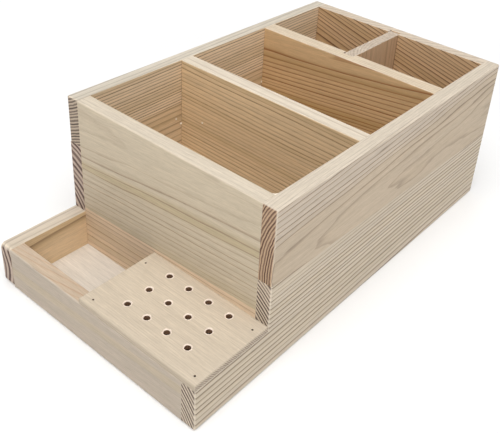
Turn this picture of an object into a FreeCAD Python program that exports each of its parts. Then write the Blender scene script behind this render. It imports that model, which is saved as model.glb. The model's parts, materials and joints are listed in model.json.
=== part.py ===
"""Pine tool storage caddy: a tall box with four bays behind a low front tray.

The frame: millimetres, +X to the right, +Y to the back, +Z up. The origin is the
centre of the underside. The tray is at the front (-Y) and the tall box behind it.
"""
import FreeCAD, Part
import os
import re
import Sketcher

SIZES = [
    # overall
    ("box_width", 180), ("box_depth", 330), ("box_height", 120),
    ("tray_depth", 60), ("tray_wall_height", 32),
    # board thicknesses
    ("side_thickness", 10.5), ("tall_front_thickness", 10.5), ("tray_front_thickness", 10.5),
    ("back_thickness", 11), ("divider_thickness", 12), ("short_divider_thickness", 9),
    ("tray_divider_thickness", 9), ("panel_thickness", 3), ("plate_thickness", 4),
    # clear lengths and widths of the compartments
    ("front_bay_length", 82), ("middle_bay_length", 81.5),
    ("back_left_bay_width", 73.5), ("tray_bay_width", 71.5),
    # glue lines between the two staves of an edge-glued board
    ("left_glue_height", 85), ("right_glue_front", 66.5), ("right_glue_rear", 57),
    ("tall_front_glue_left", 35.5), ("tall_front_glue_right", 42.5),
    # seats
    ("rabbet_width", 5), ("panel_gap", 0.2), ("dado_depth", 4), ("dado_gap", 0.3),
    # perforated tool plate
    ("hole_diameter", 4), ("hole_pitch", 17), ("hole_columns", 4), ("hole_rows", 3),
    ("hole_right_margin", 23), ("hole_front_margin", 17),
    # brads
    ("brad_shank", 1.1), ("brad_head", 1.7), ("brad_head_height", 0.6), ("brad_sink", 0.4),
    ("plate_brad_length", 16), ("panel_brad_length", 14),
    ("plate_brad_front_inset", 7), ("plate_brad_rear_inset", 4), ("plate_brad_right_inset", 5.5),
    ("plate_brad_left_setback", 11), ("plate_brad_right_setback", 8),
    ("panel_brad_end_margin", 20), ("panel_brad_side_margin", 60),
    # easing of the arrises
    ("edge_easing", 1.2), ("top_easing", 0.8), ("tray_corner_radius", 3.5),
]
BRADS_ALONG_SIDE = 5
TOUCH = 1e-4

doc = FreeCAD.newDocument("ToolCaddy")
sheet = doc.addObject("Spreadsheet::Sheet", "Sizes")
for row, (alias, number) in enumerate(SIZES, 1):
    sheet.set(f"A{row}", alias)
    sheet.set(f"B{row}", str(number))
    sheet.setAlias(f"B{row}", alias)
doc.recompute()


# ---------------------------------------------------------------- helpers
def bound(formula):
    """A formula of size names, written as an expression on the sheet."""
    return re.sub(r"[a-z]\w*", lambda word: "Sizes." + word.group(), formula)


def value(formula):
    """What a formula of size names comes to now."""
    return float(sheet.evalExpression(bound(formula)))


def body_at(label, x, y, z):
    """A body whose own origin is placed by three formulas."""
    body = doc.addObject("PartDesign::Body", label)
    body.Label = label
    for axis, formula in zip("xyz", (x, y, z)):
        body.setExpression(f"Placement.Base.{axis}", bound(formula))
    return body


def sketch_on(body, name, plane, height=None):
    """A sketch on one of the body's own origin planes, raised by a formula where one is given."""
    sketch = body.newObject("Sketcher::SketchObject", f"{body.Name}_{name}")
    origin_plane = next(f for f in body.Origin.OriginFeatures if f.Role == plane)
    sketch.AttachmentSupport = (origin_plane, [""])
    sketch.MapMode = "FlatFace"
    if height:
        sketch.setExpression("AttachmentOffset.Base.z", bound(height))
    return sketch


def pin_down(sketch, geometry, position, across, up):
    """Fix a point of a sketch at two formulas measured from the sketch's origin."""
    for kind, formula in (("DistanceX", across), ("DistanceY", up)):
        index = sketch.addConstraint(
            Sketcher.Constraint(kind, -1, 1, geometry, position, value(formula)))
        sketch.setExpression(f"Constraints[{index}]", bound(formula))


def draw_polygon(sketch, corners):
    """A closed outline of straight lines through corners given as pairs of formulas."""
    places = [FreeCAD.Vector(value(across), value(up), 0) for across, up in corners]
    ends = places[1:] + places[:1]
    lines = [sketch.addGeometry(Part.LineSegment(start, end), False)
             for start, end in zip(places, ends)]
    for line, following in zip(lines, lines[1:] + lines[:1]):
        sketch.addConstraint(Sketcher.Constraint("Coincident", line, 2, following, 1))
    for line, (across, up) in zip(lines, corners):
        pin_down(sketch, line, 1, across, up)


def draw_rectangle(sketch, left, right, low, high):
    draw_polygon(sketch, [(left, low), (right, low), (right, high), (left, high)])


def draw_circle(sketch, across, up, diameter):
    centre = FreeCAD.Vector(value(across), value(up), 0)
    circle = sketch.addGeometry(
        Part.Circle(centre, FreeCAD.Vector(0, 0, 1), value(diameter) / 2), False)
    index = sketch.addConstraint(Sketcher.Constraint("Diameter", circle, value(diameter)))
    sketch.setExpression(f"Constraints[{index}]", bound(diameter))
    pin_down(sketch, circle, 3, across, up)


def pad(body, sketch, length):
    """Thicken a sketch towards the positive side of the body's axis."""
    feature = body.newObject("PartDesign::Pad", f"{body.Name}_board")
    feature.Profile = sketch
    feature.setExpression("Length", bound(length))
    facing = sketch.getGlobalPlacement().Rotation.multVec(FreeCAD.Vector(0, 0, 1))
    feature.Reversed = facing.x + facing.y + facing.z < 0
    doc.recompute()


def pocket(body, sketch, depth=None, upwards=True):
    """Cut a level sketch up or down by a depth, or right through. A cut has to remove something."""
    before = body.Shape.Volume
    feature = body.newObject("PartDesign::Pocket", f"{sketch.Name}_cut")
    feature.Profile = sketch
    feature.Reversed = upwards
    if depth:
        feature.setExpression("Length", bound(depth))
    else:
        feature.Type = "ThroughAll"
    doc.recompute()
    if not body.Shape.Volume < before - TOUCH:
        raise RuntimeError(f"{feature.Name} cuts nothing")


def ease(body, radius, *arrises):
    """Round the edges that lie in every plane of one of the arrises.

    A plane is written as an axis and a formula in the body's own frame.
    """
    def lies_in(edge, plane):
        axis, formula = plane
        box = edge.BoundBox
        level = value(formula)
        low, high = getattr(box, axis + "Min"), getattr(box, axis + "Max")
        return abs(low - level) < TOUCH and abs(high - level) < TOUCH

    tip = body.Tip
    names = [f"Edge{number}" for number, edge in enumerate(tip.Shape.Edges, 1)
             if any(all(lies_in(edge, plane) for plane in arris) for arris in arrises)]
    fillet = body.newObject("PartDesign::Fillet", f"{tip.Name}_eased")
    fillet.Base = (tip, names)
    fillet.setExpression("Radius", bound(radius))
    doc.recompute()


# ---------------------------------------------------------------- shared places
HALF_WIDTH = "box_width / 2"
HALF_DEPTH = "box_depth / 2"
INNER_WIDTH = "(box_width - 2 * side_thickness)"
INNER_HEIGHT = "(box_height - panel_thickness)"
# distances from the front face of the tray to the front face of each cross board
FRONT_DIVIDER_Y = "(tray_depth + tall_front_thickness + front_bay_length)"
REAR_DIVIDER_Y = f"({FRONT_DIVIDER_Y} + divider_thickness + middle_bay_length)"
BACK_BOARD_Y = "(box_depth - back_thickness)"
# distances from the left face of the box
SHORT_DIVIDER_X = "(side_thickness + back_left_bay_width)"
TRAY_DIVIDER_X = "(side_thickness + tray_bay_width)"
# the bottom panel's seat, measured from the box's left face and the tray's front face
SEAT_LEFT = "(side_thickness - rabbet_width)"
SEAT_RIGHT = "(box_width - side_thickness + rabbet_width)"
SEAT_FRONT = "(tray_front_thickness - rabbet_width)"
SEAT_REAR = "(box_depth - back_thickness + rabbet_width)"

# brads through the tool plate: across from the left face, back from the tray's front face
PLATE_BRADS = {
    "tray_front_board": [(f"{TRAY_DIVIDER_X} + plate_brad_front_inset", "tray_front_thickness / 2")],
    "tray_divider": [(f"{TRAY_DIVIDER_X} + plate_brad_rear_inset",
                      "tray_depth - plate_brad_left_setback")],
    "right_side_lower_stave": [
        ("box_width - plate_brad_right_inset", "tray_front_thickness / 2"),
        ("box_width - plate_brad_right_inset", "tray_depth - plate_brad_right_setback")],
}


def side_brads(across):
    """Brads up through the panel into a side board, evenly spaced from end to end."""
    spread = f"(box_depth - 2 * panel_brad_end_margin) / {BRADS_ALONG_SIDE - 1}"
    return [(across, f"panel_brad_end_margin + {step} * {spread}")
            for step in range(BRADS_ALONG_SIDE)]


def cross_brads(back):
    """A pair of brads up through the panel into a cross board."""
    return [("panel_brad_side_margin", back), ("box_width - panel_brad_side_margin", back)]


# brads through the bottom panel, measured the same way
PANEL_BRADS = {
    "left_side_lower_stave": side_brads("side_thickness - rabbet_width / 2"),
    "right_side_lower_stave": side_brads("box_width - side_thickness + rabbet_width / 2"),
    "tray_front_board": cross_brads("tray_front_thickness - rabbet_width / 2"),
    "tall_front_lower_stave": cross_brads("tray_depth + tall_front_thickness / 2"),
    "front_divider": cross_brads(f"{FRONT_DIVIDER_Y} + divider_thickness / 2"),
    "rear_divider": cross_brads(f"{REAR_DIVIDER_Y} + divider_thickness / 2"),
    "back_board": cross_brads(f"{BACK_BOARD_Y} + rabbet_width / 2"),
}


def board_at(label, left, front, low="0"):
    """A board whose corner is placed from the box's left face, the tray's front and the ground."""
    return body_at(label, f"{left} - {HALF_WIDTH}", f"{front} - {HALF_DEPTH}", low)


def cut_panel_seat(body, left, front):
    """The stopped rabbet in a board's underside that takes the bottom panel."""
    sketch = sketch_on(body, "panel_seat", "XY_Plane")
    draw_rectangle(sketch, f"{SEAT_LEFT} - {left}", f"{SEAT_RIGHT} - {left}",
                   f"{SEAT_FRONT} - {front}", f"{SEAT_REAR} - {front}")
    pocket(body, sketch, "panel_thickness")


def cut_panel_pilots(body, left, front, low):
    """Pilot holes for the brads that come up through the bottom panel."""
    sketch = sketch_on(body, "panel_pilots", "XY_Plane")
    for across, back in PANEL_BRADS[body.Label]:
        draw_circle(sketch, f"{across} - {left}", f"{back} - {front}", "brad_shank")
    pocket(body, sketch, f"panel_brad_length + brad_sink - {low}")


def cut_plate_pilots(body, left, front, low):
    """Pilot holes for the brads that come down through the tool plate."""
    sketch = sketch_on(body, "plate_pilots", "XY_Plane", f"tray_wall_height - {low}")
    for across, back in PLATE_BRADS[body.Label]:
        draw_circle(sketch, f"{across} - {left}", f"{back} - {front}", "brad_shank")
    pocket(body, sketch, "plate_brad_length + brad_sink - plate_thickness", upwards=False)


# ---------------------------------------------------------------- side boards
def lower_side_stave(label, left, outer, glue_front, glue_rear):
    """The lower stave of a side: L-shaped, low beside the tray and high beside the bays."""
    body = board_at(label, left, "0")
    outline = sketch_on(body, "outline", "YZ_Plane")
    draw_polygon(outline, [("0", "0"), ("box_depth", "0"), ("box_depth", glue_rear),
                           ("tray_depth", glue_front), ("tray_depth", "tray_wall_height"),
                           ("0", "tray_wall_height")])
    pad(body, outline, "side_thickness")
    cut_panel_seat(body, left, "0")
    cut_panel_pilots(body, left, "0", "0")
    if label in PLATE_BRADS:
        cut_plate_pilots(body, left, "0", "0")
    front_low = (("Y", "0"), ("Z", "0"))
    front_top = (("Y", "0"), ("Z", "tray_wall_height"))
    # the tray's top outer edge and front top corner stay square where the tool plate covers them
    covered = label in PLATE_BRADS
    ends = (front_low,) if covered else (front_low, front_top)
    ease(body, "edge_easing" if covered else "tray_corner_radius", *ends)
    outer_edges = [(("X", outer), plane) for plane in (
        ("Z", "0"), ("Y", "0"), ("Y", "tray_depth"), ("Y", "box_depth"))]
    if not covered:
        outer_edges.append((("X", outer), ("Z", "tray_wall_height")))
    ease(body, "edge_easing", (("Y", "box_depth"), ("Z", "0")), *outer_edges)
    return body


def upper_side_stave(label, left, outer, glue_front, glue_rear):
    """The upper stave of a side, glued on the lower one behind the tray."""
    body = board_at(label, left, "0")
    outline = sketch_on(body, "outline", "YZ_Plane")
    draw_polygon(outline, [("tray_depth", glue_front), ("box_depth", glue_rear),
                           ("box_depth", "box_height"), ("tray_depth", "box_height")])
    pad(body, outline, "side_thickness")
    top = ("Z", "box_height")
    face = ("X", outer)
    ease(body, "edge_easing", (face, top), (face, ("Y", "tray_depth")), (face, ("Y", "box_depth")),
         (top, ("Y", "tray_depth")), (top, ("Y", "box_depth")))
    return body


RIGHT_SIDE_X = "(box_width - side_thickness)"
left_lower = lower_side_stave("left_side_lower_stave", "0", "0",
                              "left_glue_height", "left_glue_height")
left_upper = upper_side_stave("left_side_upper_stave", "0", "0",
                              "left_glue_height", "left_glue_height")
right_lower = lower_side_stave("right_side_lower_stave", RIGHT_SIDE_X, "side_thickness",
                               "right_glue_front", "right_glue_rear")
right_upper = upper_side_stave("right_side_upper_stave", RIGHT_SIDE_X, "side_thickness",
                               "right_glue_front", "right_glue_rear")


# ---------------------------------------------------------------- cross boards
def cross_board(label, front, thickness, corners, low="panel_thickness"):
    """A board between the sides, its outline given as pairs across and up."""
    body = board_at(label, "side_thickness", front, low)
    outline = sketch_on(body, "outline", "XZ_Plane")
    draw_polygon(outline, corners)
    pad(body, outline, thickness)
    return body


def rectangle(width, height):
    return [("0", "0"), (width, "0"), (width, height), ("0", height)]


def cut_dado(body, near, far):
    """The open-topped upright groove that holds one end of the lift-out divider."""
    groove = sketch_on(body, "dado", "XY_Plane")
    draw_rectangle(groove, f"{SHORT_DIVIDER_X} - side_thickness - dado_gap",
                   f"{SHORT_DIVIDER_X} - side_thickness + short_divider_thickness + dado_gap",
                   near, far)
    pocket(body, groove)


tray_front = cross_board("tray_front_board", "0", "tray_front_thickness",
                         rectangle(INNER_WIDTH, "tray_wall_height"), low="0")
cut_panel_seat(tray_front, "side_thickness", "0")
cut_panel_pilots(tray_front, "side_thickness", "0", "0")
cut_plate_pilots(tray_front, "side_thickness", "0", "0")
ease(tray_front, "edge_easing", (("Y", "0"), ("Z", "0")))

tall_front_lower = cross_board(
    "tall_front_lower_stave", "tray_depth", "tall_front_thickness",
    [("0", "0"), (INNER_WIDTH, "0"),
     (INNER_WIDTH, "tall_front_glue_right - panel_thickness"),
     ("0", "tall_front_glue_left - panel_thickness")])
cut_panel_pilots(tall_front_lower, "side_thickness", "tray_depth", "panel_thickness")

tall_front_upper = cross_board(
    "tall_front_upper_stave", "tray_depth", "tall_front_thickness",
    [("0", "tall_front_glue_left - panel_thickness"),
     (INNER_WIDTH, "tall_front_glue_right - panel_thickness"),
     (INNER_WIDTH, INNER_HEIGHT), ("0", INNER_HEIGHT)])
ease(tall_front_upper, "edge_easing", (("Y", "0"), ("Z", INNER_HEIGHT)))

front_divider = cross_board("front_divider", FRONT_DIVIDER_Y, "divider_thickness",
                            rectangle(INNER_WIDTH, INNER_HEIGHT))
cut_panel_pilots(front_divider, "side_thickness", FRONT_DIVIDER_Y, "panel_thickness")
ease(front_divider, "top_easing", (("Y", "0"), ("Z", INNER_HEIGHT)),
     (("Y", "divider_thickness"), ("Z", INNER_HEIGHT)))

rear_divider = cross_board("rear_divider", REAR_DIVIDER_Y, "divider_thickness",
                           rectangle(INNER_WIDTH, INNER_HEIGHT))
cut_panel_pilots(rear_divider, "side_thickness", REAR_DIVIDER_Y, "panel_thickness")
ease(rear_divider, "top_easing", (("Y", "0"), ("Z", INNER_HEIGHT)))
cut_dado(rear_divider, "divider_thickness - dado_depth", "divider_thickness + dado_gap")

back_board = cross_board("back_board", BACK_BOARD_Y, "back_thickness",
                         rectangle(INNER_WIDTH, "box_height"), low="0")
cut_panel_seat(back_board, "side_thickness", BACK_BOARD_Y)
cut_panel_pilots(back_board, "side_thickness", BACK_BOARD_Y, "0")
cut_dado(back_board, "-dado_gap", "dado_depth")
ease(back_board, "edge_easing", (("Y", "back_thickness"), ("Z", "box_height")),
     (("Y", "back_thickness"), ("Z", "0")))

# ---------------------------------------------------------------- tray divider and lift-out divider
tray_divider = board_at("tray_divider", TRAY_DIVIDER_X, "tray_front_thickness", "panel_thickness")
outline = sketch_on(tray_divider, "outline", "YZ_Plane")
draw_rectangle(outline, "0", "tray_depth - tray_front_thickness",
               "0", "tray_wall_height - panel_thickness")
pad(tray_divider, outline, "tray_divider_thickness")
cut_plate_pilots(tray_divider, TRAY_DIVIDER_X, "tray_front_thickness", "panel_thickness")

DIVIDER_FRONT = f"({REAR_DIVIDER_Y} + divider_thickness - dado_depth + dado_gap)"
DIVIDER_REAR = f"({BACK_BOARD_Y} + dado_depth - dado_gap)"
short_divider = board_at("lift_out_divider", SHORT_DIVIDER_X, DIVIDER_FRONT, "panel_thickness")
outline = sketch_on(short_divider, "outline", "YZ_Plane")
draw_rectangle(outline, "0", f"{DIVIDER_REAR} - {DIVIDER_FRONT}", "0", INNER_HEIGHT)
pad(short_divider, outline, "short_divider_thickness")

# ---------------------------------------------------------------- bottom panel
PANEL_LEFT = f"({SEAT_LEFT} + panel_gap)"
PANEL_FRONT = f"({SEAT_FRONT} + panel_gap)"
panel = board_at("bottom_panel", PANEL_LEFT, PANEL_FRONT)
outline = sketch_on(panel, "outline", "XY_Plane")
draw_rectangle(outline, "0", f"{SEAT_RIGHT} - panel_gap - {PANEL_LEFT}",
               "0", f"{SEAT_REAR} - panel_gap - {PANEL_FRONT}")
pad(panel, outline, "panel_thickness")
for name, diameter, depth in (("shanks", "brad_shank", None),
                              ("heads", "brad_head", "brad_sink + brad_head_height")):
    holes = sketch_on(panel, name, "XY_Plane")
    for brads in PANEL_BRADS.values():
        for across, back in brads:
            draw_circle(holes, f"{across} - {PANEL_LEFT}", f"{back} - {PANEL_FRONT}", diameter)
    pocket(panel, holes, depth)

# ---------------------------------------------------------------- perforated tool plate
plate = board_at("tool_plate", TRAY_DIVIDER_X, "0", "tray_wall_height")
outline = sketch_on(plate, "outline", "XY_Plane")
draw_rectangle(outline, "0", f"box_width - {TRAY_DIVIDER_X}", "0", "tray_depth")
pad(plate, outline, "plate_thickness")
holes = sketch_on(plate, "tool_holes", "XY_Plane")
for column in range(int(value("hole_columns"))):
    for line in range(int(value("hole_rows"))):
        draw_circle(holes,
                    f"box_width - {TRAY_DIVIDER_X} - hole_right_margin - {column} * hole_pitch",
                    f"hole_front_margin + {line} * hole_pitch", "hole_diameter")
pocket(plate, holes)
shanks = sketch_on(plate, "brad_shanks", "XY_Plane")
heads = sketch_on(plate, "brad_heads", "XY_Plane", "plate_thickness")
for brads in PLATE_BRADS.values():
    for across, back in brads:
        draw_circle(shanks, f"{across} - {TRAY_DIVIDER_X}", back, "brad_shank")
        draw_circle(heads, f"{across} - {TRAY_DIVIDER_X}", back, "brad_head")
pocket(plate, shanks)
pocket(plate, heads, "brad_sink + brad_head_height", upwards=False)
ease(plate, "edge_easing", (("Y", "0"), ("Z", "plate_thickness")),
     (("X", f"box_width - {TRAY_DIVIDER_X}"), ("Z", "plate_thickness")),
     (("X", f"box_width - {TRAY_DIVIDER_X}"), ("Y", "0")))


# ---------------------------------------------------------------- brads
def cylinder(name, diameter, length, place):
    shape = doc.addObject("Part::Cylinder", name)
    shape.setExpression("Radius", bound(f"{diameter} / 2"))
    shape.setExpression("Height", bound(length))
    for axis, formula in zip("xyz", place):
        shape.setExpression(f"Placement.Base.{axis}", bound(formula))
    return shape


def brad_group(label, brads, shank_low, shank_length, head_low):
    """Identical brads as one group of separate solids, each a shank and a head."""
    pins = []
    for number, (across, back) in enumerate(brads, 1):
        place = (f"{across} - {HALF_WIDTH}", f"{back} - {HALF_DEPTH}")
        shank = cylinder(f"{label}_shank_{number}", "brad_shank", shank_length, place + (shank_low,))
        head = cylinder(f"{label}_head_{number}", "brad_head", "brad_head_height",
                        place + (head_low,))
        pin = doc.addObject("Part::Fuse", f"{label}_{number}")
        pin.Base = shank
        pin.Tool = head
        pins.append(pin)
    group = doc.addObject("Part::Compound", label)
    group.Label = label
    group.Links = pins
    return group


PLATE_TOP = "(tray_wall_height + plate_thickness)"
plate_brads = brad_group(
    "plate_brads", [brad for brads in PLATE_BRADS.values() for brad in brads],
    f"{PLATE_TOP} - brad_sink - plate_brad_length", "plate_brad_length",
    f"{PLATE_TOP} - brad_sink - brad_head_height")
panel_brads = brad_group(
    "bottom_panel_brads", [brad for brads in PANEL_BRADS.values() for brad in brads],
    "brad_sink", "panel_brad_length", "brad_sink")

# ---------------------------------------------------------------- checks and files
doc.recompute()
SUB_PARTS = [left_lower, left_upper, right_lower, right_upper, tray_front, tall_front_lower,
             tall_front_upper, front_divider, rear_divider, back_board, tray_divider,
             short_divider, panel, plate, plate_brads, panel_brads]
for item in doc.Objects:
    if "Invalid" in item.State or "Error" in item.State:
        raise RuntimeError(f"{item.Name} failed: {item.State}")
for piece in SUB_PARTS:
    if piece.Shape.isNull() or not piece.Shape.isValid():
        raise RuntimeError(f"{piece.Label} has no valid shape")

os.makedirs("parts", exist_ok=True)
for piece in SUB_PARTS:
    piece.Shape.exportStep(f"parts/{piece.Label}.step")
    box = piece.Shape.BoundBox
    print(f"{piece.Label:24s} solids {len(piece.Shape.Solids):2d} "
          f"volume {piece.Shape.Volume / 1000:8.2f} cm3 "
          f"x {box.XMin:7.2f} {box.XMax:7.2f} y {box.YMin:7.2f} {box.YMax:7.2f} "
          f"z {box.ZMin:6.2f} {box.ZMax:6.2f}")
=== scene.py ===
"""Looks of the pine tool storage caddy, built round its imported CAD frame.

Scene lengths are metres, +X right, +Y back, +Z up, with the origin at the centre of the
underside. Wood figure is described in millimetres, as growth rings and fibres are.
"""
import json
import math

import bmesh
import bpy
from mathutils import Euler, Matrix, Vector, noise


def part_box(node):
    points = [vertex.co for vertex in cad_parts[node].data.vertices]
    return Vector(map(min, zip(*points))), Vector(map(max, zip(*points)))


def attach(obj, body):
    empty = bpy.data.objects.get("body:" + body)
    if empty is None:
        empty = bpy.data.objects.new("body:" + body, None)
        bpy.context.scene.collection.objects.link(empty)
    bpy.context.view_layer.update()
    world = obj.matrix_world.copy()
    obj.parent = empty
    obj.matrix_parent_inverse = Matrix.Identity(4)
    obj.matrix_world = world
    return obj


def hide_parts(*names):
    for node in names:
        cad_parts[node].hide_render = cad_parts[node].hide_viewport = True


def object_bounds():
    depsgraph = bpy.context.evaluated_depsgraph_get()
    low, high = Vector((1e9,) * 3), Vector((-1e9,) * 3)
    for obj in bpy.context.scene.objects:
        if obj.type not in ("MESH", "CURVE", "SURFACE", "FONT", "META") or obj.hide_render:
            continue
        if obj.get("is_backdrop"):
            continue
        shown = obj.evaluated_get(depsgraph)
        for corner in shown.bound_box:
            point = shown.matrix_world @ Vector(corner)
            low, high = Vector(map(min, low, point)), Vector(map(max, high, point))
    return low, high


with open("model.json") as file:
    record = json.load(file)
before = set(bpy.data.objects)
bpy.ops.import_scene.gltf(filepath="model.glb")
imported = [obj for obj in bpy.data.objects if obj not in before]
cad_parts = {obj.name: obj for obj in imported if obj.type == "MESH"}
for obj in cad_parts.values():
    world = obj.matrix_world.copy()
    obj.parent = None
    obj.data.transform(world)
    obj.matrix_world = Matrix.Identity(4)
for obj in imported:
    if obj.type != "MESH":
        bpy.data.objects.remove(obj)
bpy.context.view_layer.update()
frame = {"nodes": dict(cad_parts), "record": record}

MM = 0.001
FOOT = 2.0 * MM       # arrises at the foot, rounded most
EASE = 1.2 * MM       # outer arrises, rounded over by sanding
SOFT = 0.8 * MM       # top arrises of the dividers
JOINT = 0.4 * MM      # ends of the cross boards, where they meet a side inside the bays
CRISP = 0.22 * MM     # every other arris
CORNER = 3.5 * MM     # front corners of the left tray wall
CORNER_STEPS = 6
RABBET = 5 * MM       # width of the seat round the bottom panel
DADO_GAP = 0.3 * MM   # clearance on each side of the lift-out divider
OPEN_TOP = 10 * MM    # how far cutters for grooves reach past the board
SAME = 1e-6           # points nearer than this are one point
X, Y, Z = Vector((1, 0, 0)), Vector((0, 1, 0)), Vector((0, 0, 1))


# ---------------------------------------------------------------- shader nodes
def srgb(red, green, blue):
    """A screen colour, 0 to 255, as the linear colour that shaders use."""
    def linear(channel):
        share = channel / 255
        return share / 12.92 if share <= 0.04045 else ((share + 0.055) / 1.055) ** 2.4
    return (linear(red), linear(green), linear(blue), 1.0)


class Tree:
    """Short ways to add nodes to one material. An input is a socket or a constant."""

    def __init__(self, name):
        self.material = bpy.data.materials.new(name)
        self.material.use_nodes = True
        self.nodes = self.material.node_tree.nodes
        self.links = self.material.node_tree.links
        self.nodes.clear()
        self.shader = self.nodes.new("ShaderNodeBsdfPrincipled")
        output = self.nodes.new("ShaderNodeOutputMaterial")
        self.links.new(self.shader.outputs[0], output.inputs["Surface"])

    def feed(self, socket, source):
        if isinstance(source, bpy.types.NodeSocket):
            self.links.new(source, socket)
        elif source is not None:
            socket.default_value = source

    def add(self, kind, **inputs):
        node = self.nodes.new(kind)
        for name, source in inputs.items():
            self.feed(node.inputs[name.replace("_", " ")], source)
        return node

    def surface(self, **inputs):
        for name, source in inputs.items():
            self.feed(self.shader.inputs[name.replace("_", " ")], source)

    def math(self, operation, first, second=None, third=None):
        node = self.nodes.new("ShaderNodeMath")
        node.operation = operation
        for socket, source in zip(node.inputs, (first, second, third)):
            self.feed(socket, source)
        return node.outputs[0]

    def times(self, first, second):
        return self.math("MULTIPLY", first, second)

    def plus(self, first, second):
        return self.math("ADD", first, second)

    def line(self, source, slope, start):
        return self.math("MULTIPLY_ADD", source, slope, start)

    def vector(self, operation, first, second=None, scale=None):
        node = self.nodes.new("ShaderNodeVectorMath")
        node.operation = operation
        self.feed(node.inputs[0], first)
        self.feed(node.inputs[1], second)
        if scale is not None:
            self.feed(node.inputs["Scale"], scale)
        return node.outputs["Value" if operation in ("DOT_PRODUCT", "LENGTH") else "Vector"]

    def combine(self, x, y, z):
        return self.add("ShaderNodeCombineXYZ", X=x, Y=y, Z=z).outputs[0]

    def stretched(self, u, v, w, across, along, shift):
        """A noise space with features this many millimetres across and along the grain."""
        return self.combine(self.times(u, 1 / across), self.times(v, 1 / across),
                            self.line(w, 1 / along, shift))

    def noise(self, where, detail=2.0, roughness=0.5, output="Fac"):
        node = self.add("ShaderNodeTexNoise", Vector=where, Scale=1.0, Detail=detail,
                        Roughness=roughness)
        return node.outputs[output]

    def place(self):
        """Where a point is on the object, in millimetres."""
        here = self.add("ShaderNodeTexCoord").outputs["Object"]
        return self.vector("SCALE", here, scale=1 / MM)

    def bump(self, height, strength, deep):
        """The normal of a surface with this relief, deep in millimetres."""
        node = self.add("ShaderNodeBump", Height=height, Strength=strength, Distance=deep * MM)
        return node.outputs[0]

    def wobble(self, where, detail):
        colour = self.noise(where, detail, output="Color")
        return self.vector("SUBTRACT", colour, Vector((0.5, 0.5, 0.5)))

    def step(self, source, low, high, to_low=0.0, to_high=1.0):
        """A smooth step of source from low to high."""
        node = self.nodes.new("ShaderNodeMapRange")
        node.interpolation_type = "SMOOTHSTEP"
        for name, value in (("Value", source), ("From Min", low), ("From Max", high),
                            ("To Min", to_low), ("To Max", to_high)):
            self.feed(node.inputs[name], value)
        return node.outputs[0]

    def mix(self, share, first, second):
        node = self.nodes.new("ShaderNodeMix")
        node.data_type = "RGBA"
        for socket, source in ((0, share), (6, first), (7, second)):
            self.feed(node.inputs[socket], source)
        return node.outputs[2]

    def facing(self, normal, directions, low=0.55, high=0.9):
        """1 where the surface faces any of these directions."""
        best = None
        for direction in directions:
            dot = self.vector("DOT_PRODUCT", normal, direction)
            best = dot if best is None else self.math("MAXIMUM", best, dot)
        return self.step(best, low, high)


# ---------------------------------------------------------------- pine
PINE = dict(
    early=srgb(199, 186, 167),      # spring wood, most of each ring
    slant=srgb(184, 160, 124),      # summer wood where it is cut at a slant
    late=srgb(118, 90, 72),         # the last of the summer wood, a thin dark line
    band=srgb(188, 170, 128),       # broad olive years
    inner=(0.97, 0.88, 0.76),       # painted shade: faces inside the bays darkened and warmed, as by the shade and bounce light there
    top=srgb(208, 196, 178),        # painted top light: faces that look up are paled, as by the light from above
    end_early=srgb(188, 170, 152),
    end_late=srgb(84, 58, 50),
    arris=srgb(220, 208, 190),      # rubbed edges, paled partly by wear and partly as a painted highlight
    spacing=3.0,                    # ring width
    contrast=0.9,
    band_share=0.25,
    wander=2.0,                     # how far the rings stray, in millimetres
    ripple=0.5,
    late_start=0.35,                # where in a ring the summer wood begins
    line_start=0.66,                # where its dark line begins
    slant_share=0.55,               # how much it shows on face grain
    end_contrast=0.95,
    quiet=0.0,                      # how much the figure fades on the quiet faces
)


BOARDS_APART = 37.3     # between one board's noise and the next, in noise units
BEND = (55, 230)        # sizes of features across and along the grain, in millimetres
RIPPLE = (7, 60)
FIBRE = (0.7, 11)
STREAK = (2.2, 90)
DUCT = (0.55, 7)
PORE = (0.32, 2.5)
UNEVEN_YEARS = 1.1      # how much the years differ in width
DULLEST_LINE = 0.45     # strength of the faintest year's line
WHITE = (1.0, 1.0, 1.0, 1.0)


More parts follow.
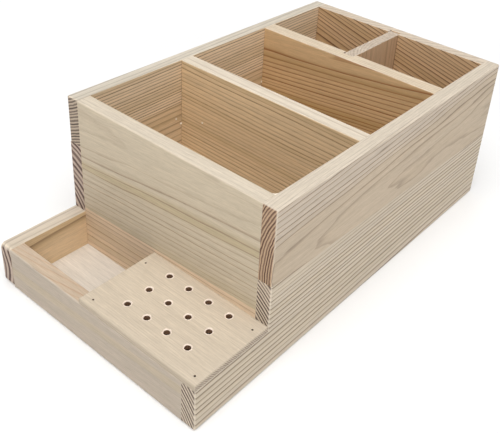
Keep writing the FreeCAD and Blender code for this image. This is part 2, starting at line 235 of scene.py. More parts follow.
def pine(name, along, pith, seed, inside=(), quiet_faces=(), **changes):
    """Pine sawn from a round trunk: growth rings about a pith line, in millimetres.

    along is the direction of the trunk and pith a point on its centre line. One solid
    field of rings gives every face its own matching figure, end grain included. inside
    names the faces that get the painted shade of the bays, darker and warmer, and quiet_faces
    those with little figure.
    """
    look = {**PINE, **changes}
    tree = Tree(name)
    trunk = Vector(along).normalized()
    across = trunk.orthogonal().normalized()
    shift = seed * BOARDS_APART
    here = tree.vector("SUBTRACT", tree.place(), Vector(pith))
    u, v, w = (tree.vector("DOT_PRODUCT", here, axis)
               for axis in (across, trunk.cross(across), trunk))
    normal = tree.add("ShaderNodeNewGeometry").outputs["Normal"]

    # a trunk isn't straight: it bends slowly and its rings ripple
    slow = tree.stretched(u, v, w, *BEND, shift)
    flat = tree.combine(u, v, 0.0)
    for where, reach in ((slow, look["wander"] * 4),
                         (tree.stretched(u, v, w, *RIPPLE, shift), look["ripple"] * 2)):
        flat = tree.vector("ADD", flat, tree.vector("SCALE", tree.wobble(where, 1.5), scale=reach))
    radius = tree.vector("LENGTH", tree.vector("MULTIPLY", flat, X + Y))

    # years: pale spring wood darkens into summer wood, which ends sharply
    years = tree.times(radius, 1 / look["spacing"])
    uneven = tree.noise(tree.combine(tree.times(years, 0.4), shift, 0.0), detail=1)
    years = tree.plus(years, tree.times(uneven, UNEVEN_YEARS))
    part = tree.math("FRACT", years)
    whim = tree.add("ShaderNodeTexWhiteNoise",
                    Vector=tree.combine(tree.math("FLOOR", years), shift, 1.0)).outputs["Value"]
    ends = tree.step(part, 0.96, 1.0, 1.0, 0.0)
    strength = tree.times(tree.line(whim, 1 - DULLEST_LINE, DULLEST_LINE), ends)
    summer = tree.times(tree.step(part, look["late_start"], 0.9), strength)
    late = tree.times(tree.step(part, look["line_start"], 0.95), strength)
    hard = tree.times(tree.step(part, 0.34, 0.62), tree.line(whim, 0.35, 0.65))
    hard = tree.times(hard, ends)

    # a face that runs along a ring shows it as a broad soft band, not as a line
    level = tree.combine(*(tree.vector("DOT_PRODUCT", normal, axis)
                           for axis in (across, trunk.cross(across))), 0.0)
    level = tree.math("DIVIDE", tree.vector("DOT_PRODUCT", flat, level), radius)
    level = tree.step(tree.math("ABSOLUTE", level), 0.93, 0.998, 1.0, 0.3)
    summer, late = tree.times(summer, level), tree.times(late, level)

    # fibres, soft pools of colour, short resin ducts and broad olive years
    fibre = tree.noise(tree.stretched(u, v, w, *FIBRE, shift), detail=3, roughness=0.75)
    streak = tree.noise(tree.stretched(u, v, w, *STREAK, shift))
    pool = tree.noise(tree.vector("SCALE", slow, scale=1.6))
    duct = tree.noise(tree.stretched(u, v, w, *DUCT, shift + 5), detail=1)
    duct = tree.times(tree.step(duct, 0.68, 0.76), tree.line(late, 0.6, 0.12))
    olive = tree.noise(tree.combine(tree.times(radius, 0.11), shift, 3.0), detail=0)
    olive = tree.times(tree.step(olive, 0.52, 0.68), look["band_share"])

    # face grain
    shown = look["contrast"]
    if quiet_faces:
        shown = tree.line(tree.facing(normal, quiet_faces), -look["quiet"] * shown, shown)
    wood = tree.mix(olive, look["early"], look["band"])
    broad = tree.times(tree.times(summer, shown), look["slant_share"])
    wood = tree.mix(broad, wood, look["slant"])
    wood = tree.mix(tree.times(late, shown), wood, look["late"])
    wood = tree.mix(duct, wood, look["end_late"])
    # painted top light: faces that look up are paled towards the top colour, keeping a faint line
    # of each ring
    painted_top_light = tree.times(tree.facing(normal, (Z,), 0.8, 0.98), 0.75)
    pale = tree.mix(tree.times(late, 0.22), look["top"], look["late"])
    wood = tree.mix(painted_top_light, wood, pale)
    # painted shade: the faces inside the bays are darkened and warmed, as the shade and bounce
    # light there would do
    if inside:
        painted_bay_shade = tree.mix(tree.facing(normal, inside), WHITE, (*look["inner"], 1.0))
        wood = tree.vector("MULTIPLY", wood, painted_bay_shade)

    # end grain is browner, with hard ring lines and open pores
    cut = tree.step(tree.math("ABSOLUTE", tree.vector("DOT_PRODUCT", normal, trunk)), 0.55, 0.9)
    pores = tree.noise(tree.stretched(u, v, w, *PORE, shift))
    end = tree.mix(tree.times(hard, look["end_contrast"]), look["end_early"], look["end_late"])
    end = tree.mix(tree.step(pores, 0.5, 0.8, 0.0, 0.35), end, look["end_late"])
    wood = tree.mix(cut, wood, end)

    light = tree.times(tree.line(fibre, 0.6, 0.7), tree.line(streak, 0.3, 0.85))
    light = tree.times(light, tree.line(pool, 0.14, 0.93))
    wood = tree.vector("SCALE", wood, scale=light)

    # rubbed arrises, partly wear and partly a painted highlight: between two faces the normal
    # leaves every axis
    bare = tree.add("ShaderNodeSeparateXYZ", Vector=tree.vector("ABSOLUTE", normal)).outputs
    nearest = tree.math("MAXIMUM", bare["X"], tree.math("MAXIMUM", bare["Y"], bare["Z"]))
    worn_and_highlit_edge = tree.times(tree.step(nearest, 0.995, 0.86, 0.0, 1.0),
                        tree.step(pool, 0.3, 0.6, 0.2, 0.45))
    wood = tree.mix(worn_and_highlit_edge, wood, look["arris"])

    rough = tree.plus(tree.line(fibre, 0.12, 0.6), tree.line(late, -0.14, 0.0))
    relief = tree.plus(tree.times(late, 0.6), tree.times(fibre, 0.7))
    relief = tree.plus(relief, tree.times(pores, cut))
    tree.surface(Base_Color=wood, Roughness=tree.plus(rough, tree.times(cut, 0.12)),
                 Specular_IOR_Level=0.35, Normal=tree.bump(relief, 0.45, 0.12))
    return tree.material


def brad_steel():
    """Wire nails, dulled and stained in patches."""
    tree = Tree("brad_wire")
    here = tree.place()
    stain = tree.noise(tree.vector("SCALE", here, scale=1.7), detail=3)
    colour = tree.mix(tree.step(stain, 0.35, 0.7), srgb(72, 64, 58), srgb(44, 36, 30))
    scratch = tree.noise(tree.vector("MULTIPLY", here, Vector((9, 9, 1.5))))
    tree.surface(Base_Color=colour, Roughness=tree.line(stain, 0.35, 0.35), Metallic=0.6,
                 Normal=tree.bump(scratch, 0.3, 0.05))
    return tree.material


def drilled_wood():
    """The walls of drilled holes: browned by the drill and fuzzy."""
    tree = Tree("drilled_wood")
    here = tree.place()
    fuzz = tree.noise(tree.vector("MULTIPLY", here, Vector((3, 3, 1.2))), detail=3)
    colour = tree.mix(tree.step(fuzz, 0.3, 0.7), srgb(150, 116, 88), srgb(98, 68, 48))
    tree.surface(Base_Color=colour, Roughness=tree.line(fuzz, 0.2, 0.7),
                 Normal=tree.bump(fuzz, 0.6, 0.2))
    return tree.material


def torn_rim():
    """Pale fibres lifted round the mouths of the drilled holes."""
    tree = Tree("torn_rim")
    here = tree.place()
    fray = tree.noise(tree.vector("SCALE", here, scale=2.2), detail=3)
    colour = tree.mix(fray, srgb(246, 234, 222), srgb(222, 200, 178))
    tree.surface(Base_Color=colour, Roughness=tree.line(fray, 0.2, 0.65),
                 Normal=tree.bump(fray, 0.5, 0.15))
    return tree.material


def dried_glue():
    """Squeezed-out wood glue: yellowish, hard and a little glossy."""
    tree = Tree("dried_glue")
    here = tree.place()
    cloud = tree.noise(tree.vector("SCALE", here, scale=0.8))
    colour = tree.mix(cloud, srgb(252, 246, 234), srgb(232, 214, 186))
    tree.surface(Base_Color=colour, Roughness=tree.line(cloud, 0.2, 0.25),
                 Normal=tree.bump(cloud, 0.3, 0.1))
    return tree.material


# How each board was sawn. Pith points are millimetres from the model's origin.
# top, inner and arris carry painted light: top pales the faces that look up, inner darkens and
# warms the faces inside the bays as shade, and arris is partly a painted highlight on the edges
SAWN = {
    "left_side_lower_stave": dict(
        along=(0.0, 1, 0.01), pith=(-115, 0, 14), seed=3, spacing=4.2, inside=(X,),
        early=srgb(228, 211, 188), inner=(0.97, 0.87, 0.72), contrast=0.55,
        end_early=srgb(190, 170, 154), end_late=srgb(78, 52, 46), top=srgb(192, 180, 164)),
    "left_side_upper_stave": dict(
        along=(0.0, 1, 0.015), pith=(-145, 0, 225), seed=4, spacing=2.1, inside=(X,),
        early=srgb(240, 226, 206), late=srgb(74, 46, 28), contrast=1.0, wander=1.0,
        end_early=srgb(186, 168, 148), end_late=srgb(50, 34, 28), top=srgb(192, 184, 170)),
    "right_side_lower_stave": dict(
        along=(0.0, 1, 0.012), pith=(0, 0, -45), seed=1, spacing=2.4, inside=(-X,),
        late=srgb(80, 58, 46), line_start=0.6, wander=0.8, ripple=0.3, band_share=0.1,
        end_early=srgb(206, 190, 170), end_late=srgb(70, 48, 42)),
    "right_side_upper_stave": dict(
        along=(-0.02, 1, 0.035), pith=(172, 0, 72), seed=2, spacing=1.9, inside=(-X,),
        early=srgb(193, 179, 162), late=srgb(80, 58, 42), band=srgb(178, 156, 124),
        band_share=0.4, ripple=0.9, line_start=0.74, slant_share=0.35, contrast=1.0,
        end_early=srgb(186, 158, 130), end_late=srgb(72, 36, 22)),
    "tall_front_lower_stave": dict(
        along=(1, 0, 0.044), pith=(0, -75, -30), seed=5, spacing=3.6, contrast=0.6,
        line_start=0.74, slant_share=0.3,
        early=srgb(219, 195, 167), late=srgb(140, 98, 66), inside=(Y,)),
    "tall_front_upper_stave": dict(
        along=(1, 0.01, 0.06), pith=(0, -45, 110), seed=6, spacing=2.6, wander=1.6,
        early=srgb(193, 179, 156), band_share=0.7, band=srgb(178, 160, 118), contrast=0.6,
        line_start=0.76, slant_share=0.25, ripple=0.8, inside=(Y,)),
    "front_divider": dict(
        along=(1, 0, -0.012), pith=(0, 60, 230), seed=7, spacing=2.8, ripple=0.8,
        wander=1.6, line_start=0.72, slant_share=0.4, contrast=0.8, inside=(Y, -Y),
        early=srgb(233, 218, 196), inner=(1.0, 0.87, 0.68), late=srgb(136, 104, 76)),
    "rear_divider": dict(
        along=(1, 0, 0.10), pith=(0, 118, 126), seed=8, spacing=2.6, inside=(Y, -Y),
        early=srgb(226, 211, 191), inner=(0.88, 0.70, 0.47), late=srgb(148, 92, 50),
        band_share=0.6, top=srgb(205, 188, 162)),
    "back_board": dict(
        along=(1, 0, -0.26), pith=(0, 195, 46), seed=9, spacing=2.9, inside=(-Y,), wander=3.5,
        early=srgb(226, 211, 191), inner=(0.91, 0.73, 0.53), late=srgb(92, 46, 26),
        top=srgb(200, 185, 166)),
    "tray_front_board": dict(
        along=(1, 0.02, 0.05), pith=(0, -185, -35), seed=10, spacing=1.5,
        early=srgb(183, 170, 154), late=srgb(156, 106, 78), inside=(Y,),
        quiet_faces=(-Y,), quiet=0.8, top=srgb(194, 172, 148)),
    "lift_out_divider": dict(
        along=(0, 0.01, 1), pith=(40, 125, 0), seed=11, spacing=2.5, contrast=0.35,
        inside=(X, -X), early=srgb(226, 211, 191), inner=(0.78, 0.62, 0.48),
        end_early=srgb(192, 176, 158), end_late=srgb(104, 82, 64), end_contrast=0.3),
    "tray_divider": dict(
        along=(0, 1, 0), pith=(40, 0, 70), seed=12, inside=(X, -X)),
    "tool_plate": dict(
        along=(1, 0, 0), pith=(0, -300, -110), seed=13, spacing=1.1, contrast=0.4,
        wander=0.5, ripple=0.2, band_share=0.1, early=srgb(180, 166, 147),
        top=srgb(206, 192, 172), late=srgb(150, 124, 96), end_early=srgb(186, 172, 154),
        end_late=srgb(116, 98, 84), end_contrast=0.7, arris=srgb(196, 183, 162)),
    "bottom_panel": dict(
        along=(1, 0, 0), pith=(0, 0, -900), seed=14, spacing=9, contrast=0.15,
        wander=0.6, early=srgb(207, 198, 186), top=srgb(207, 198, 186),
        late=srgb(196, 182, 162)),
}


# ---------------------------------------------------------------- meshes
def add_object(made, name):
    """A linked object from a bmesh, which is used up."""
    mesh = bpy.data.meshes.new(name)
    made.to_mesh(mesh)
    made.free()
    piece = bpy.data.objects.new(name, mesh)
    bpy.context.scene.collection.objects.link(piece)
    return piece


OUTLINE_AXES = {"X": (1, 2, 0), "Y": (0, 2, 1), "Z": (0, 1, 2)}


def prism(axis, outline, low, high):
    """A closed prism over an outline: two coordinates a point, extruded along an axis."""
    def corner(point, level):
        place = [0.0, 0.0, 0.0]
        for index, number in zip(OUTLINE_AXES[axis], (*point, level)):
            place[index] = number
        return made.verts.new(place)
    made = bmesh.new()
    near = [corner(point, low) for point in outline]
    far = [corner(point, high) for point in outline]
    made.faces.new(near)
    made.faces.new(far)
    for index in range(len(outline)):
        after = (index + 1) % len(outline)
        made.faces.new((near[index], near[after], far[after], far[index]))
    bmesh.ops.recalc_face_normals(made, faces=made.faces)
    return made


def rectangle(low, high, axis):
    first, second, _ = OUTLINE_AXES[axis]
    return [(low[first], low[second]), (high[first], low[second]),
            (high[first], high[second]), (low[first], high[second])]


def block(low, high, axis="Z"):
    level = OUTLINE_AXES[axis][2]
    return prism(axis, rectangle(low, high, axis), low[level], high[level])


def quarter_circle(centre, radius, start):
    """Outline points of a quarter circle, from an angle in degrees, anticlockwise."""
    angles = [math.radians(start + 90 * step / CORNER_STEPS) for step in range(CORNER_STEPS + 1)]
    return [(centre[0] + radius * math.cos(angle), centre[1] + radius * math.sin(angle))
            for angle in angles]


def cut_away(made, cutter):
    """The bmesh less the cutter, both used up."""
    work, tool = add_object(made, "work"), add_object(cutter, "tool")
    cut = work.modifiers.new("cut", "BOOLEAN")
    cut.operation, cut.solver, cut.object = "DIFFERENCE", "EXACT", tool
    graph = bpy.context.evaluated_depsgraph_get()
    result = bmesh.new()
    result.from_mesh(work.evaluated_get(graph).to_mesh())
    for old in (work, tool):
        bpy.data.objects.remove(old)
    return result


SHARP_ANGLE = math.radians(40)
ARRIS_STEPS = 4


def board(name, made, eased, flush=()):
    """A board with its arrises rounded.

    eased pairs a width with the planes that an arris lies in. flush is a glue line: the
    axis across it and its two ends. Its edges stay sharp, so that the staves meet unseen.
    """
    def in_planes(edge, planes):
        return all(abs(corner.co.dot(axis) - level) < SAME
                   for corner in edge.verts for axis, level in planes)

    weights = made.edges.layers.float.new("bevel_weight_edge")
    for edge in made.edges:
        width = CRISP if edge.calc_face_angle(0.0) > SHARP_ANGLE else 0.0
        for wanted, *planes in eased:
            if in_planes(edge, planes):
                width = wanted
        edge[weights] = width / FOOT
        if flush and all(glued(corner.co, flush) for corner in edge.verts):
            edge[weights] = 0.0
            edge.smooth = False
    for face in made.faces:
        face.smooth = True
    piece = add_object(made, name)
    bevel = piece.modifiers.new("arrises", "BEVEL")
    bevel.limit_method = "WEIGHT"
    bevel.width = FOOT
    bevel.segments = ARRIS_STEPS
    piece.modifiers.new("flat_faces", "WEIGHTED_NORMAL").keep_sharp = True
    return piece


def glued(point, line):
    """Whether a point is an end of the glue line, on either face of the board."""
    axis, start, end = line
    spot = point - axis * point.dot(axis)
    return min((spot - start).length, (spot - end).length) < SAME


def stand_for(piece, node):
    """The piece takes a CAD node's place, body and material slot."""
    record = frame["record"]
    body = next(name for name, nodes in record["behaviour"]["bodies"].items() if node in nodes)
    piece.data.materials.append(pine(node, **SAWN[node]))
    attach(piece, body)
    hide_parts(node)


def refinish(node, material):
    """A CAD node keeps its shape and gets a better material."""
    for slot in frame["nodes"][node].material_slots:
        slot.material = material


# ---------------------------------------------------------------- boards
BOX_LOW, BOX_HIGH = (Vector(corner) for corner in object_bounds())
SIDE_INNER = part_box("right_side_lower_stave")[0].x
TRAY_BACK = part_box("tall_front_lower_stave")[0].y
WALL_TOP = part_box("tray_front_board")[1].z
PANEL_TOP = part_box("bottom_panel")[1].z


def panel_seat():
    """The rabbet round the bottom panel, as one cutter."""
    inner_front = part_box("tray_front_board")[1].y
    inner_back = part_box("back_board")[0].y
    low = Vector((-SIDE_INNER - RABBET, inner_front - RABBET, -RABBET))
    high = Vector((SIDE_INNER + RABBET, inner_back + RABBET, PANEL_TOP))
    return block(low, high)


def side_staves(side):
    """The two glued staves of a side. Their glue line drops a little towards the back."""
    lower, upper = f"{side}_side_lower_stave", f"{side}_side_upper_stave"
    low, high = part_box(lower)
    glue_rear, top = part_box(upper)[0].z, BOX_HIGH.z
    front, back, glue_front = BOX_LOW.y, BOX_HIGH.y, high.z
    outer = (X, low.x if side == "left" else high.x)
    glue_line = (X, Vector((0, TRAY_BACK, glue_front)), Vector((0, back, glue_rear)))
    outline = [(back, low.z), (back, glue_rear), (TRAY_BACK, glue_front), (TRAY_BACK, WALL_TOP)]
    if side == "left":
        outline += quarter_circle((front + CORNER, WALL_TOP - CORNER), CORNER, 90)
        outline += quarter_circle((front + CORNER, low.z + CORNER), CORNER, 180)
    else:
        outline += [(front, WALL_TOP), (front, low.z)]
    made = cut_away(prism("X", outline, low.x, high.x), panel_seat())
    stand_for(board(lower, made, [(EASE, outer), (FOOT, outer, (Z, low.z)),
                                  (FOOT, (Y, back), (Z, low.z)),
                                  (FOOT, (Y, front), (Z, low.z))], glue_line), lower)
    outline = [(TRAY_BACK, glue_front), (back, glue_rear), (back, top), (TRAY_BACK, top)]
    made = prism("X", outline, low.x, high.x)
    stand_for(board(upper, made, [(EASE, outer), (EASE, (Z, top), (Y, TRAY_BACK)),
                                  (EASE, (Z, top), (Y, back))], glue_line), upper)


def tall_front():
    """The board between tray and front bay, of two staves with a sloping glue line."""
    lower, upper = "tall_front_lower_stave", "tall_front_upper_stave"
    low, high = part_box(lower)
    glue_left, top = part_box(upper)[0].z, BOX_HIGH.z
    glue_line = (Y, Vector((low.x, 0, glue_left)), Vector((high.x, 0, high.z)))
    outline = [(low.x, low.z), (high.x, low.z), (high.x, high.z), (low.x, glue_left)]
    stand_for(board(lower, prism("Y", outline, low.y, high.y), [], glue_line), lower)
    outline = [(low.x, glue_left), (high.x, high.z), (high.x, top), (low.x, top)]
    stand_for(board(upper, prism("Y", outline, low.y, high.y),
                    [(EASE, (Y, low.y), (Z, top))], glue_line), upper)


def dado():
    """The pair of grooves that the lift-out divider slides in, as one cutter."""
    low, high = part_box("lift_out_divider")
    room = Vector((DADO_GAP, DADO_GAP, OPEN_TOP))
    return block(low - room, high + room)


FRONT_ENDS = [(JOINT, "low.x", "low.y"), (JOINT, "high.x", "low.y")]
REAR_ENDS = [(JOINT, "low.x", "high.y"), (JOINT, "high.x", "high.y")]
CROSS_BOARDS = {
    "front_divider": [(SOFT, "low.y", "high.z"), (SOFT, "high.y", "high.z"),
                      *FRONT_ENDS, *REAR_ENDS],
    "rear_divider": [(SOFT, "low.y", "high.z"), *FRONT_ENDS, *REAR_ENDS],
    "back_board": [(EASE, "high.y", "high.z"), (FOOT, "high.y", "low.z"), *FRONT_ENDS],
    "tray_front_board": [(EASE, "low.y", "high.z"), (FOOT, "low.y", "low.z")],
}


def cross_boards():
    """Boards that run from side to side."""
    for node, eased in CROSS_BOARDS.items():
        low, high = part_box(node)
        places = {f"{end}.{letter}": (axis, getattr(corner, letter))
                  for end, corner in (("low", low), ("high", high))
                  for letter, axis in (("x", X), ("y", Y), ("z", Z))}
        made = block(low, high, "Y")
        if node in ("rear_divider", "back_board"):
            made = cut_away(made, dado())
        if node in ("back_board", "tray_front_board"):
            made = cut_away(made, panel_seat())
        stand_for(board(node, made, [(width, *(places[name] for name in names))
                                     for width, *names in eased]), node)


SAW_RIDGE = 0.9 * MM      # depth of the roughness left by the saw
SAW_STEP = 0.75 * MM      # mesh size of the sawn top
ROUGH_PATTERN = (0.45, 0.9, 3.0)    # noise units a column and a row, and where in the noise
TEAR_PATTERN = (1.3, 1.7, 8.0)


def sawn_top_divider():
    """The lift-out divider, whose top keeps the ridges of the saw."""
    node = "lift_out_divider"
    low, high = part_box(node)
    columns = round((high.x - low.x) / SAW_STEP)
    rows = round((high.y - low.y) / SAW_STEP)
    made = bmesh.new()

    def corner(column, row, depth):
        x = low.x + (high.x - low.x) * column / columns
        y = low.y + (high.y - low.y) * row / rows
        return made.verts.new((x, y, high.z - depth))
    top = []
    for column in range(columns + 1):
        line = []
        for row in range(rows + 1):
            rough, tear = (noise.noise(Vector((column * across, row * down, layer)))
                           for across, down, layer in (ROUGH_PATTERN, TEAR_PATTERN))
            depth = SAW_RIDGE * (0.5 + 0.4 * rough + 0.35 * tear)
            if column in (0, columns) or row in (0, rows):
                depth += CRISP
            line.append(corner(column, row, max(depth, 0.0)))
        top.append(line)
    for column in range(columns):
        for row in range(rows):
            made.faces.new((top[column][row], top[column + 1][row],
                            top[column + 1][row + 1], top[column][row + 1]))
    rim = ([line[0] for line in top] + top[-1][1:]
           + [line[-1] for line in reversed(top[:-1])] + top[0][-2:0:-1])
    foot = [made.verts.new((vertex.co.x, vertex.co.y, low.z)) for vertex in rim]
    for index in range(len(rim)):
        after = (index + 1) % len(rim)
        made.faces.new((foot[index], foot[after], rim[after], rim[index]))
    made.faces.new(list(reversed(foot)))
    bmesh.ops.recalc_face_normals(made, faces=made.faces)
    stand_for(add_object(made, node), node)


HOLE_RIM = 0.45 * MM      # chamfer of a tool hole
HOLE_STEPS = 40
HEAD_HIGH = 0.1 * MM      # a brad's head is flat within this
BRAD_APART = 5 * MM       # points nearer than this are on one brad
HEAD_HOLE = 0.7 * MM      # radius of the hole that a brad has sunk into
HEAD_RIM = 0.04 * MM      # and its chamfer


def bore(centre, radius, low, high, rim):
    """A cutter for a round hole from low to high, its two mouths widened by the rim."""
    made = bmesh.new()
    rings = []
    for level, size in ((low - rim, radius + 2 * rim), (low + rim, radius),
                        (high - rim, radius), (high + rim, radius + 2 * rim)):
        angles = [math.tau * step / HOLE_STEPS for step in range(HOLE_STEPS)]
        rings.append([made.verts.new((centre.x + size * math.cos(angle),
                                      centre.y + size * math.sin(angle), level))
                      for angle in angles])
    for first, second in zip(rings, rings[1:]):
        for step in range(HOLE_STEPS):
            after = (step + 1) % HOLE_STEPS
            made.faces.new((first[step], first[after], second[after], second[step]))
    made.faces.new(list(reversed(rings[0])))
    made.faces.new(rings[-1])
    return made


def brad_heads(node):
    """The centres of the heads of a group of brads, read from its mesh."""
    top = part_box(node)[1].z
    heads = []
    for vertex in frame["nodes"][node].data.vertices:
        place = vertex.co.copy()
        if top - place.z >= HEAD_HIGH:
            continue
        near = [head for head in heads if (place - head[0]).length <= BRAD_APART]
        if near:
            near[0].append(place)
        else:
            heads.append([place])
    return [sum(head, Vector()) / len(head) for head in heads]


def tool_plate():
    """The thin board over the tray, bored for tools and sunk for four brads."""
    node = "tool_plate"
    low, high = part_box(node)
    eased = [(EASE, (Z, high.z), (Y, low.y)), (EASE, (Z, high.z), (X, high.x))]
    blank = board(node, block(low, high), eased)
    graph = bpy.context.evaluated_depsgraph_get()
    made = bmesh.new()
    made.from_mesh(blank.evaluated_get(graph).to_mesh())
    bpy.data.objects.remove(blank)
    holes = [(Vector(mount["pos_m"]), mount["dims"]["r_mm"] * MM, low.z, HOLE_RIM)
             for mount in frame["record"]["mounts"] if mount["name"].startswith("tool_hole")]
    head_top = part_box("plate_brads")[1].z
    holes += [(head, HEAD_HOLE, head_top, HEAD_RIM) for head in brad_heads("plate_brads")]
    for centre, radius, bottom, rim in holes:
        made = cut_away(made, bore(centre, radius, bottom, high.z, rim))
    for face in made.faces:
        middle = face.calc_center_median()
        nearest = min((middle - hole[0]).xy.length - hole[1] for hole in holes)
        if nearest < HEAD_RIM / 4:
            face.material_index = 1
        elif nearest < HOLE_RIM * 2 and middle.z < high.z - HEAD_RIM / 4:
            face.material_index = 2
    piece = add_object(made, node)
    stand_for(piece, node)
    for material in (drilled_wood(), torn_rim()):
        piece.data.materials.append(material)


FIBRES_WIDE = 0.75 * MM   # ring of lifted fibres round a tool hole
FIBRES_HIGH = 0.14 * MM   # and how far it stands up
FIBRES_SHAPE = (0.1, 0.55)    # shares of the width between which the ring is highest
RAGGED = (0.7, 0.6)           # how wide it is at its mean, and how much that varies
RAGGED_TURN = 1.7             # noise units from the middle of a hole


def torn_fibres():
    """The pale fibres that the drill lifted round each tool hole."""
    made = bmesh.new()
    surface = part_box("tool_plate")[1].z
    mean, vary = RAGGED
    rise, fall = FIBRES_SHAPE
    for hole, mount in enumerate(frame["record"]["mounts"]):
        if not mount["name"].startswith("tool_hole"):
            continue
        x, y, _ = mount["pos_m"]
        inner = mount["dims"]["r_mm"] * MM + HOLE_RIM
        rings = [[], [], [], []]
        for step in range(HOLE_STEPS):
            angle = math.tau * step / HOLE_STEPS
            cosine, sine = math.cos(angle), math.sin(angle)
            spot = Vector((cosine * RAGGED_TURN, sine * RAGGED_TURN, hole))
            ragged = mean + vary * noise.noise(spot)
            wide, high = FIBRES_WIDE * ragged, FIBRES_HIGH * ragged
            section = ((0.0, -FIBRES_HIGH), (rise * wide, high),
                       (fall * wide, high), (wide, -FIBRES_HIGH))
            for ring, (out, up) in zip(rings, section):
                ring.append(made.verts.new((x + (inner + out) * cosine,
                                            y + (inner + out) * sine, surface + up)))
        for first, second in zip(rings, rings[1:] + rings[:1]):
            for step in range(HOLE_STEPS):
                after = (step + 1) % HOLE_STEPS
                made.faces.new((first[step], first[after], second[after], second[step]))
    bmesh.ops.recalc_face_normals(made, faces=made.faces)
    for face in made.faces:
        face.smooth = True
    piece = add_object(made, "torn_fibres")
    piece.data.materials.append(torn_rim())
    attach(piece, "caddy")


CORNER_GLUE = 3.5 * MM        # radius of the filled corner in the front bay, at its top
CORNER_GLUE_DEEP = 26 * MM
CORNER_GLUE_END = 0.05 * MM   # its radius where it has faded out
CORNER_GLUE_LEVELS, CORNER_GLUE_STEPS = 12, 8
# Glue drops, in millimetres: the divider they are by and its side, how far in from the
# left wall (or, if negative, the right one), how far off the divider, how far below the
# top, the radius, and the normal of the wall they stuck to.
DROPS = (
    ("front_divider", "front", 0.1, 5.4, 47.3, 0.8, X),
    ("front_divider", "front", 0.3, 0.4, 53.1, 1.0, X),
    ("front_divider", "front", 22.2, 0.0, 43.7, 0.7, -Y),
    ("front_divider", "back", -0.3, 0.3, 1.6, 1.1, Y),
    ("rear_divider", "front", 0.3, 0.3, 49.0, 0.9, X),
)
DROP_LUMPS = 0.18             # how uneven a drop is, as a share of its radius
DROP_FLAT = 0.5               # how flat it lies against its wall
DROP_TOP, DROP_SAG = 0.9, 1.35    # height of its upper and lower half, in radii


def corner_glue():
    """The filled inner corner where tall front and right side meet, fading downwards."""
    made = bmesh.new()
    corner = Vector((SIDE_INNER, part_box("tall_front_upper_stave")[1].y, 0))
    top = BOX_HIGH.z - CRISP
    rings = []
    for level in range(CORNER_GLUE_LEVELS + 1):
        share = level / CORNER_GLUE_LEVELS
        radius = CORNER_GLUE * (1 - share) ** 0.7 + CORNER_GLUE_END
        height = top - CORNER_GLUE_DEEP * share
        ring = [made.verts.new((corner.x, corner.y, height))]
        for step in range(CORNER_GLUE_STEPS + 1):
            angle = math.radians(90 * step / CORNER_GLUE_STEPS)
            ring.append(made.verts.new((corner.x - radius * (1 - math.sin(angle)),
                                        corner.y + radius * (1 - math.cos(angle)), height)))
        rings.append(ring)
    for first, second in zip(rings, rings[1:]):
        for index in range(len(first)):
            after = (index + 1) % len(first)
            made.faces.new((first[index], first[after], second[after], second[index]))
    made.faces.new(rings[0])
    made.faces.new(list(reversed(rings[-1])))
    bmesh.ops.recalc_face_normals(made, faces=made.faces)
    return add_object(made, "corner_glue")


def glue_drop(index, divider, side, inset, off, below, radius, normal):
    """A squeezed-out drop, sagging a little and sunk into the wall that it stuck to."""
    low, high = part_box(divider)
    place = Vector((math.copysign(SIDE_INNER, -inset) + inset * MM,
                    low.y - off * MM if side == "front" else high.y + off * MM,
                    high.z - below * MM))
    made = bmesh.new()
    bmesh.ops.create_icosphere(made, subdivisions=3, radius=radius * MM)
    for vertex in made.verts:
        spot = vertex.co / (radius * MM)
        vertex.co *= 1 + DROP_LUMPS * noise.noise(spot * 1.4 + Vector((index * 7.1, 0, 0)))
        vertex.co -= normal * vertex.co.dot(normal) * DROP_FLAT
        vertex.co.z *= DROP_SAG if spot.z < 0 else DROP_TOP
        vertex.co += place
    for face in made.faces:
        face.smooth = True
    return add_object(made, f"glue_drop_{index}")


def glue():
    """Squeezed-out glue in the bays."""
    material = dried_glue()
    drops = [glue_drop(index, *drop) for index, drop in enumerate(DROPS, 1)]
    for piece in (corner_glue(), *drops):
        piece.data.materials.append(material)
        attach(piece, "caddy")


def tray_divider():
    """The hidden board under the left edge of the tool plate."""
    node = "tray_divider"
    stand_for(board(node, block(*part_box(node), "X"), []), node)


def caddy():
    """The whole object."""
    for side in ("left", "right"):
        side_staves(side)
    glue()
    tall_front()
    cross_boards()
    sawn_top_divider()
    tray_divider()
    tool_plate()
    torn_fibres()
    refinish("bottom_panel", pine("bottom_panel", **SAWN["bottom_panel"]))
    for node in ("plate_brads", "bottom_panel_brads"):
        refinish(node, brad_steel())


# ---------------------------------------------------------------- stage
FLOOR_HALF = 6.0
FLOOR_PALE = (0.89, 0.89, 0.89, 1)
GLOW_FROM, GLOW_TO, GLOW = 0.3, 1.2, 0.5    # metres from the middle, and its strength


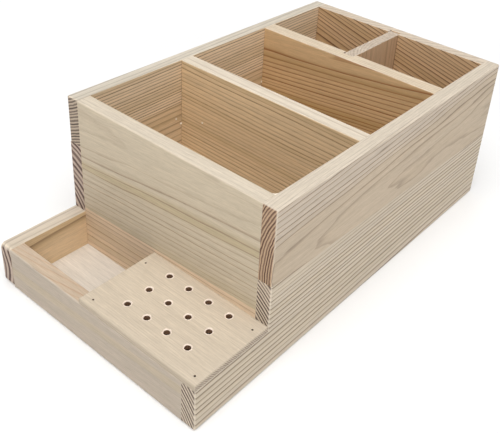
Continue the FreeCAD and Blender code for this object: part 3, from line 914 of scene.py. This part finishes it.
def studio_floor():
    """A pale floor, lit faintly from below further out so that it stays even."""
    made = bmesh.new()
    bmesh.ops.create_grid(made, x_segments=4, y_segments=4, size=FLOOR_HALF)
    floor = add_object(made, "studio_floor")
    tree = Tree("studio_floor")
    out = tree.vector("LENGTH", tree.add("ShaderNodeTexCoord").outputs["Object"])
    tree.surface(Base_Color=FLOOR_PALE, Roughness=0.9, Emission_Color=WHITE,
                 Emission_Strength=tree.step(out, GLOW_FROM, GLOW_TO, 0.0, GLOW))
    floor.data.materials.append(tree.material)
    floor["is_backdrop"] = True


def soft_light(name, place, size, power):
    """A round soft box aimed at the caddy."""
    light = bpy.data.lights.new(name, "AREA")
    light.shape, light.size, light.energy = "DISK", size, power
    lamp = bpy.data.objects.new(name, light)
    bpy.context.scene.collection.objects.link(lamp)
    lamp.location = place
    lamp.rotation_euler = Vector(place).to_track_quat("Z", "Y").to_euler()


HORIZON = {"From Min": 0.05, "From Max": 0.35, "To Min": 0.85, "To Max": 0.3}


def studio_world():
    """Grey overhead, paler towards the horizon."""
    world = bpy.data.worlds.new("studio")
    world.use_nodes = True
    nodes, links = world.node_tree.nodes, world.node_tree.links
    height = nodes.new("ShaderNodeSeparateXYZ")
    links.new(nodes.new("ShaderNodeTexCoord").outputs["Generated"], height.inputs[0])
    fade = nodes.new("ShaderNodeMapRange")
    links.new(height.outputs["Z"], fade.inputs["Value"])
    for name, value in HORIZON.items():
        fade.inputs[name].default_value = value
    background = nodes["Background"]
    background.inputs["Color"].default_value = WHITE
    links.new(fade.outputs[0], background.inputs["Strength"])
    bpy.context.scene.world = world


SENSOR, LENS = 36.0, 54.35                    # millimetres
SHIFT = (-0.082, -0.173)                      # the upright edges hardly converge in the view
VIEW_FROM = (0.28641, -0.36391, 0.35706)
VIEW_TURN = Euler((1.0469, -0.0739, 0.6815), "XYZ")


def viewer():
    """The camera, in front of the right front corner and above it."""
    camera = bpy.data.cameras.new("camera")
    camera.sensor_width, camera.lens = SENSOR, LENS
    camera.shift_x, camera.shift_y = SHIFT
    holder = bpy.data.objects.new("camera", camera)
    holder.location, holder.rotation_euler = VIEW_FROM, VIEW_TURN
    bpy.context.scene.collection.objects.link(holder)
    bpy.context.scene.camera = holder


caddy()
studio_floor()
soft_light("key_softbox", (0.75, -0.9, 2.8), size=3.3, power=106)
soft_light("back_fill", (-1.8, 1.9, 1.7), size=2.2, power=9)
studio_world()
bpy.context.scene.view_settings.view_transform = "Standard"
viewer()
